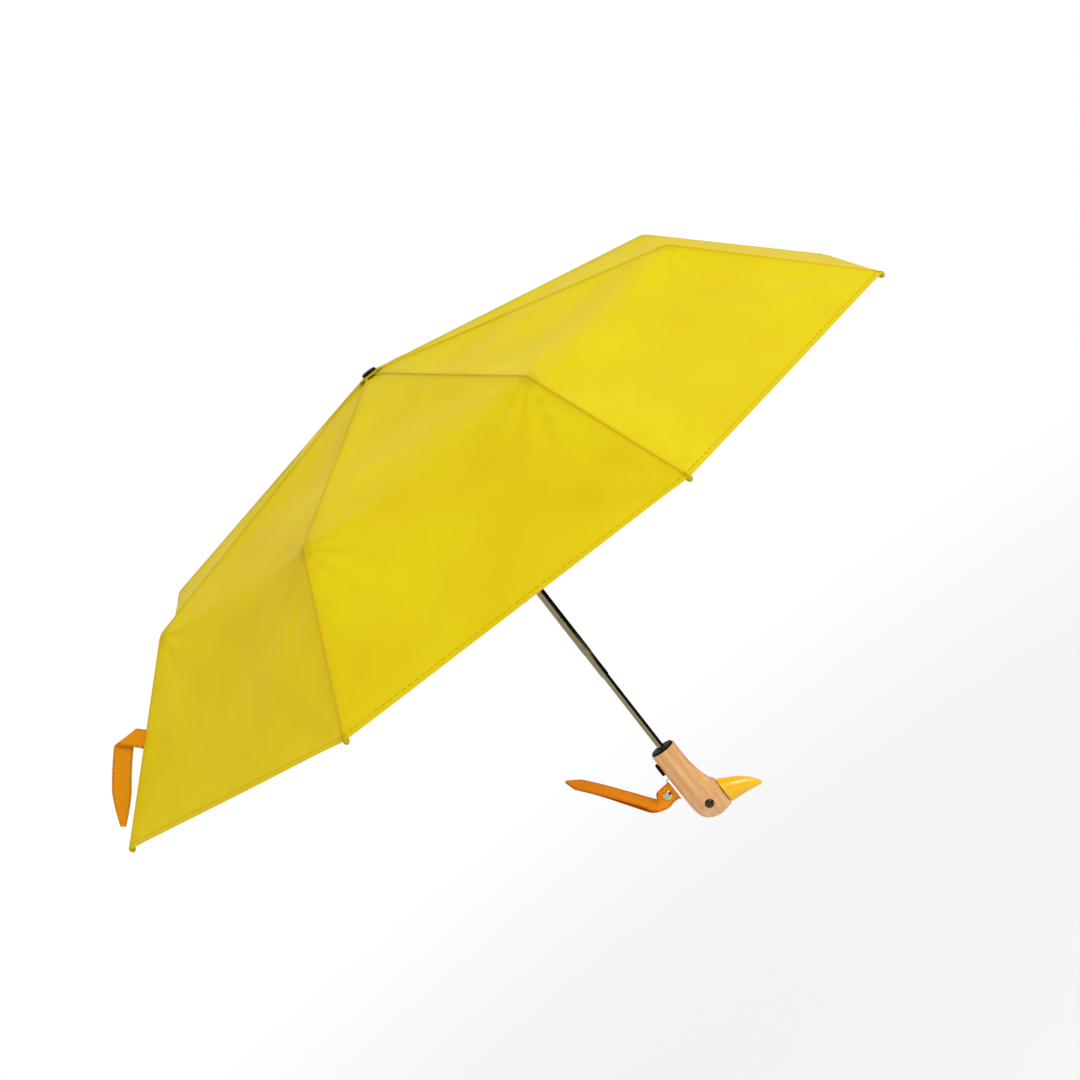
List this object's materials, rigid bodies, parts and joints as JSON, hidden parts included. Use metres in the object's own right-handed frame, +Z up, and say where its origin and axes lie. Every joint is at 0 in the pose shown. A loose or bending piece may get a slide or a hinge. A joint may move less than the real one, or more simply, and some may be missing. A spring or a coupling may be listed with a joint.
{
  "type": "folding umbrella",
  "caption": "Three-fold compact umbrella, open: yellow canopy on folding ribs, telescoping steel shaft, carved duck-head grip with push button, wrist strap and tie band.",
  "frame": {"origin": "on the shaft's axis at half the height of the grip, where a hand holds the umbrella", "axes": "+Z up the shaft to the canopy's cap, +X the way the duck's beak points"},
  "size_m": [0.9001, 0.8962, 0.5801],
  "materials": {
    "canopy_cloth": "water-repellent plain-weave cloth",
    "webbing": "flat woven tape",
    "plated_steel": "bright plating, slightly warm",
    "rib_aluminium": "satin",
    "black_plastic": "satin moulded",
    "eye_black": "gloss",
    "birch": "sanded, clear satin varnish",
    "beak_paint": "gloss lacquer"
  },
  "bodies": {
    "grip": {"handle_grip": "birch", "beak": "beak_paint", "eye_left": "eye_black", "eye_right": "eye_black", "handle_collar": "black_plastic", "lower_tube": "plated_steel", "button_spring": "plated_steel"},
    "button": {"push_button": "black_plastic"},
    "strap": {"strap_bail": "plated_steel", "wrist_strap": "webbing", "strap_snap_cap": "plated_steel", "strap_snap_back": "plated_steel"},
    "middle_shaft": {"middle_tube": "plated_steel", "spring_seat": "black_plastic", "opening_spring": "plated_steel"},
    "upper_shaft": {"upper_tube": "plated_steel", "top_notch": "black_plastic", "top_cap": "black_plastic", "canopy_gore_1": "canopy_cloth", "canopy_gore_2": "canopy_cloth", "canopy_gore_3": "canopy_cloth", "canopy_gore_4": "canopy_cloth", "canopy_gore_5": "canopy_cloth", "canopy_gore_6": "canopy_cloth", "canopy_gore_7": "canopy_cloth", "canopy_gore_8": "canopy_cloth"},
    "runner": {"runner": "black_plastic"},
    "top_rib_1": {"top_rib_1": "rib_aluminium"},
    "stretcher_1": {"stretcher_1": "rib_aluminium"},
    "middle_rib_1": {"middle_rib_1": "rib_aluminium"},
    "outer_rib_1": {"outer_rib_1": "plated_steel", "tie_band": "webbing"},
    "top_rib_2": {"top_rib_2": "rib_aluminium"},
    "stretcher_2": {"stretcher_2": "rib_aluminium"},
    "middle_rib_2": {"middle_rib_2": "rib_aluminium"},
    "outer_rib_2": {"outer_rib_2": "plated_steel"},
    "top_rib_3": {"top_rib_3": "rib_aluminium"},
    "stretcher_3": {"stretcher_3": "rib_aluminium"},
    "middle_rib_3": {"middle_rib_3": "rib_aluminium"},
    "outer_rib_3": {"outer_rib_3": "plated_steel"},
    "top_rib_4": {"top_rib_4": "rib_aluminium"},
    "stretcher_4": {"stretcher_4": "rib_aluminium"},
    "middle_rib_4": {"middle_rib_4": "rib_aluminium"},
    "outer_rib_4": {"outer_rib_4": "plated_steel"},
    "top_rib_5": {"top_rib_5": "rib_aluminium"},
    "stretcher_5": {"stretcher_5": "rib_aluminium"},
    "middle_rib_5": {"middle_rib_5": "rib_aluminium"},
    "outer_rib_5": {"outer_rib_5": "plated_steel"},
    "top_rib_6": {"top_rib_6": "rib_aluminium"},
    "stretcher_6": {"stretcher_6": "rib_aluminium"},
    "middle_rib_6": {"middle_rib_6": "rib_aluminium"},
    "outer_rib_6": {"outer_rib_6": "plated_steel"},
    "top_rib_7": {"top_rib_7": "rib_aluminium"},
    "stretcher_7": {"stretcher_7": "rib_aluminium"},
    "middle_rib_7": {"middle_rib_7": "rib_aluminium"},
    "outer_rib_7": {"outer_rib_7": "plated_steel"},
    "top_rib_8": {"top_rib_8": "rib_aluminium"},
    "stretcher_8": {"stretcher_8": "rib_aluminium"},
    "middle_rib_8": {"middle_rib_8": "rib_aluminium"},
    "outer_rib_8": {"outer_rib_8": "plated_steel"}
  },
  "joints": [
    {"name": "lower_slide", "type": "slide", "parent": "grip", "child": "middle_shaft", "axis": [0, 0, -1], "range_m": [0, 0.092]},
    {"name": "upper_slide", "type": "slide", "parent": "middle_shaft", "child": "upper_shaft", "axis": [0, 0, -1], "range_m": [0, 0.184], "deforming": ["opening_spring"]},
    {"name": "runner_slide", "type": "slide", "parent": "upper_shaft", "child": "runner", "axis": [0, 0, -1], "range_m": [0, 0.10724], "deforming": ["canopy_gore_1", "canopy_gore_2", "canopy_gore_3", "canopy_gore_4", "canopy_gore_5", "canopy_gore_6", "canopy_gore_7", "canopy_gore_8"]},
    {"name": "button_press", "type": "slide", "parent": "grip", "child": "button", "axis": [1, 0, 0], "range_m": [0, 0.002], "stiffness_N_per_m": 500, "deforming": ["button_spring"]},
    {"name": "strap_swivel", "type": "hinge", "parent": "grip", "child": "strap", "pos_m": [-0.014, 0, 0.0155], "axis": [1, 0, 0], "range_deg": [-90, 90]},
    {"name": "top_rib_fold_1", "type": "hinge", "parent": "upper_shaft", "child": "top_rib_1", "pos_m": [-0.00878, -0.00364, 0.52486], "axis": [0.3827, -0.9239, 0], "range_deg": [0, 76.83]},
    {"name": "stretcher_fold_1", "type": "hinge", "parent": "top_rib_1", "child": "stretcher_1", "pos_m": [-0.08115, -0.03361, 0.50865], "axis": [0.3827, -0.9239, 0], "range_deg": [-135.47, 0]},
    {"name": "middle_rib_fold_1", "type": "hinge", "parent": "top_rib_1", "child": "middle_rib_1", "pos_m": [-0.15384, -0.06372, 0.49405], "axis": [0.3827, -0.9239, 0], "range_deg": [-178.52, 0]},
    {"name": "outer_rib_fold_1", "type": "hinge", "parent": "middle_rib_1", "child": "outer_rib_1", "pos_m": [-0.30395, -0.1259, 0.4571], "axis": [0.3827, -0.9239, 0], "range_deg": [0, 149.75]},
    {"name": "top_rib_fold_2", "type": "hinge", "parent": "upper_shaft", "child": "top_rib_2", "pos_m": [-0.00364, -0.00878, 0.52486], "axis": [0.9239, -0.3827, 0], "range_deg": [0, 76.83]},
    {"name": "stretcher_fold_2", "type": "hinge", "parent": "top_rib_2", "child": "stretcher_2", "pos_m": [-0.03361, -0.08115, 0.50865], "axis": [0.9239, -0.3827, 0], "range_deg": [-135.47, 0]},
    {"name": "middle_rib_fold_2", "type": "hinge", "parent": "top_rib_2", "child": "middle_rib_2", "pos_m": [-0.06372, -0.15384, 0.49405], "axis": [0.9239, -0.3827, 0], "range_deg": [-178.52, 0]},
    {"name": "outer_rib_fold_2", "type": "hinge", "parent": "middle_rib_2", "child": "outer_rib_2", "pos_m": [-0.1259, -0.30395, 0.4571], "axis": [0.9239, -0.3827, 0], "range_deg": [0, 149.75]},
    {"name": "top_rib_fold_3", "type": "hinge", "parent": "upper_shaft", "child": "top_rib_3", "pos_m": [0.00364, -0.00878, 0.52486], "axis": [0.9239, 0.3827, 0], "range_deg": [0, 76.83]},
    {"name": "stretcher_fold_3", "type": "hinge", "parent": "top_rib_3", "child": "stretcher_3", "pos_m": [0.03361, -0.08115, 0.50865], "axis": [0.9239, 0.3827, 0], "range_deg": [-135.47, 0]},
    {"name": "middle_rib_fold_3", "type": "hinge", "parent": "top_rib_3", "child": "middle_rib_3", "pos_m": [0.06372, -0.15384, 0.49405], "axis": [0.9239, 0.3827, 0], "range_deg": [-178.52, 0]},
    {"name": "outer_rib_fold_3", "type": "hinge", "parent": "middle_rib_3", "child": "outer_rib_3", "pos_m": [0.1259, -0.30395, 0.4571], "axis": [0.9239, 0.3827, 0], "range_deg": [0, 149.75]},
    {"name": "top_rib_fold_4", "type": "hinge", "parent": "upper_shaft", "child": "top_rib_4", "pos_m": [0.00878, -0.00364, 0.52486], "axis": [0.3827, 0.9239, 0], "range_deg": [0, 76.83]},
    {"name": "stretcher_fold_4", "type": "hinge", "parent": "top_rib_4", "child": "stretcher_4", "pos_m": [0.08115, -0.03361, 0.50865], "axis": [0.3827, 0.9239, 0], "range_deg": [-135.47, 0]},
    {"name": "middle_rib_fold_4", "type": "hinge", "parent": "top_rib_4", "child": "middle_rib_4", "pos_m": [0.15384, -0.06372, 0.49405], "axis": [0.3827, 0.9239, 0], "range_deg": [-178.52, 0]},
    {"name": "outer_rib_fold_4", "type": "hinge", "parent": "middle_rib_4", "child": "outer_rib_4", "pos_m": [0.30395, -0.1259, 0.4571], "axis": [0.3827, 0.9239, 0], "range_deg": [0, 149.75]},
    {"name": "top_rib_fold_5", "type": "hinge", "parent": "upper_shaft", "child": "top_rib_5", "pos_m": [0.00878, 0.00364, 0.52486], "axis": [-0.3827, 0.9239, 0], "range_deg": [0, 76.83]},
    {"name": "stretcher_fold_5", "type": "hinge", "parent": "top_rib_5", "child": "stretcher_5", "pos_m": [0.08115, 0.03361, 0.50865], "axis": [-0.3827, 0.9239, 0], "range_deg": [-135.47, 0]},
    {"name": "middle_rib_fold_5", "type": "hinge", "parent": "top_rib_5", "child": "middle_rib_5", "pos_m": [0.15384, 0.06372, 0.49405], "axis": [-0.3827, 0.9239, 0], "range_deg": [-178.52, 0]},
    {"name": "outer_rib_fold_5", "type": "hinge", "parent": "middle_rib_5", "child": "outer_rib_5", "pos_m": [0.30395, 0.1259, 0.4571], "axis": [-0.3827, 0.9239, 0], "range_deg": [0, 149.75]},
    {"name": "top_rib_fold_6", "type": "hinge", "parent": "upper_shaft", "child": "top_rib_6", "pos_m": [0.00364, 0.00878, 0.52486], "axis": [-0.9239, 0.3827, 0], "range_deg": [0, 76.83]},
    {"name": "stretcher_fold_6", "type": "hinge", "parent": "top_rib_6", "child": "stretcher_6", "pos_m": [0.03361, 0.08115, 0.50865], "axis": [-0.9239, 0.3827, 0], "range_deg": [-135.47, 0]},
    {"name": "middle_rib_fold_6", "type": "hinge", "parent": "top_rib_6", "child": "middle_rib_6", "pos_m": [0.06372, 0.15384, 0.49405], "axis": [-0.9239, 0.3827, 0], "range_deg": [-178.52, 0]},
    {"name": "outer_rib_fold_6", "type": "hinge", "parent": "middle_rib_6", "child": "outer_rib_6", "pos_m": [0.1259, 0.30395, 0.4571], "axis": [-0.9239, 0.3827, 0], "range_deg": [0, 149.75]},
    {"name": "top_rib_fold_7", "type": "hinge", "parent": "upper_shaft", "child": "top_rib_7", "pos_m": [-0.00364, 0.00878, 0.52486], "axis": [-0.9239, -0.3827, 0], "range_deg": [0, 76.83]},
    {"name": "stretcher_fold_7", "type": "hinge", "parent": "top_rib_7", "child": "stretcher_7", "pos_m": [-0.03361, 0.08115, 0.50865], "axis": [-0.9239, -0.3827, 0], "range_deg": [-135.47, 0]},
    {"name": "middle_rib_fold_7", "type": "hinge", "parent": "top_rib_7", "child": "middle_rib_7", "pos_m": [-0.06372, 0.15384, 0.49405], "axis": [-0.9239, -0.3827, 0], "range_deg": [-178.52, 0]},
    {"name": "outer_rib_fold_7", "type": "hinge", "parent": "middle_rib_7", "child": "outer_rib_7", "pos_m": [-0.1259, 0.30395, 0.4571], "axis": [-0.9239, -0.3827, 0], "range_deg": [0, 149.75]},
    {"name": "top_rib_fold_8", "type": "hinge", "parent": "upper_shaft", "child": "top_rib_8", "pos_m": [-0.00878, 0.00364, 0.52486], "axis": [-0.3827, -0.9239, 0], "range_deg": [0, 76.83]},
    {"name": "stretcher_fold_8", "type": "hinge", "parent": "top_rib_8", "child": "stretcher_8", "pos_m": [-0.08115, 0.03361, 0.50865], "axis": [-0.3827, -0.9239, 0], "range_deg": [-135.47, 0]},
    {"name": "middle_rib_fold_8", "type": "hinge", "parent": "top_rib_8", "child": "middle_rib_8", "pos_m": [-0.15384, 0.06372, 0.49405], "axis": [-0.3827, -0.9239, 0], "range_deg": [-178.52, 0]},
    {"name": "outer_rib_fold_8", "type": "hinge", "parent": "middle_rib_8", "child": "outer_rib_8", "pos_m": [-0.30395, 0.1259, 0.4571], "axis": [-0.3827, -0.9239, 0], "range_deg": [0, 149.75]}
  ],
  "couplings": [
    {"joint": "top_rib_fold_1", "follows": "runner_slide", "rad_per_m": 12.5},
    {"joint": "stretcher_fold_1", "follows": "runner_slide", "rad_per_m": -22.042},
    {"joint": "middle_rib_fold_1", "follows": "runner_slide", "rad_per_m": -29.05},
    {"joint": "outer_rib_fold_1", "follows": "runner_slide", "rad_per_m": 24.367},
    {"joint": "top_rib_fold_2", "follows": "runner_slide", "rad_per_m": 12.5},
    {"joint": "stretcher_fold_2", "follows": "runner_slide", "rad_per_m": -22.042},
    {"joint": "middle_rib_fold_2", "follows": "runner_slide", "rad_per_m": -29.05},
    {"joint": "outer_rib_fold_2", "follows": "runner_slide", "rad_per_m": 24.367},
    {"joint": "top_rib_fold_3", "follows": "runner_slide", "rad_per_m": 12.5},
    {"joint": "stretcher_fold_3", "follows": "runner_slide", "rad_per_m": -22.042},
    {"joint": "middle_rib_fold_3", "follows": "runner_slide", "rad_per_m": -29.05},
    {"joint": "outer_rib_fold_3", "follows": "runner_slide", "rad_per_m": 24.367},
    {"joint": "top_rib_fold_4", "follows": "runner_slide", "rad_per_m": 12.5},
    {"joint": "stretcher_fold_4", "follows": "runner_slide", "rad_per_m": -22.042},
    {"joint": "middle_rib_fold_4", "follows": "runner_slide", "rad_per_m": -29.05},
    {"joint": "outer_rib_fold_4", "follows": "runner_slide", "rad_per_m": 24.367},
    {"joint": "top_rib_fold_5", "follows": "runner_slide", "rad_per_m": 12.5},
    {"joint": "stretcher_fold_5", "follows": "runner_slide", "rad_per_m": -22.042},
    {"joint": "middle_rib_fold_5", "follows": "runner_slide", "rad_per_m": -29.05},
    {"joint": "outer_rib_fold_5", "follows": "runner_slide", "rad_per_m": 24.367},
    {"joint": "top_rib_fold_6", "follows": "runner_slide", "rad_per_m": 12.5},
    {"joint": "stretcher_fold_6", "follows": "runner_slide", "rad_per_m": -22.042},
    {"joint": "middle_rib_fold_6", "follows": "runner_slide", "rad_per_m": -29.05},
    {"joint": "outer_rib_fold_6", "follows": "runner_slide", "rad_per_m": 24.367},
    {"joint": "top_rib_fold_7", "follows": "runner_slide", "rad_per_m": 12.5},
    {"joint": "stretcher_fold_7", "follows": "runner_slide", "rad_per_m": -22.042},
    {"joint": "middle_rib_fold_7", "follows": "runner_slide", "rad_per_m": -29.05},
    {"joint": "outer_rib_fold_7", "follows": "runner_slide", "rad_per_m": 24.367},
    {"joint": "top_rib_fold_8", "follows": "runner_slide", "rad_per_m": 12.5},
    {"joint": "stretcher_fold_8", "follows": "runner_slide", "rad_per_m": -22.042},
    {"joint": "middle_rib_fold_8", "follows": "runner_slide", "rad_per_m": -29.05},
    {"joint": "outer_rib_fold_8", "follows": "runner_slide", "rad_per_m": 24.367}
  ]
}
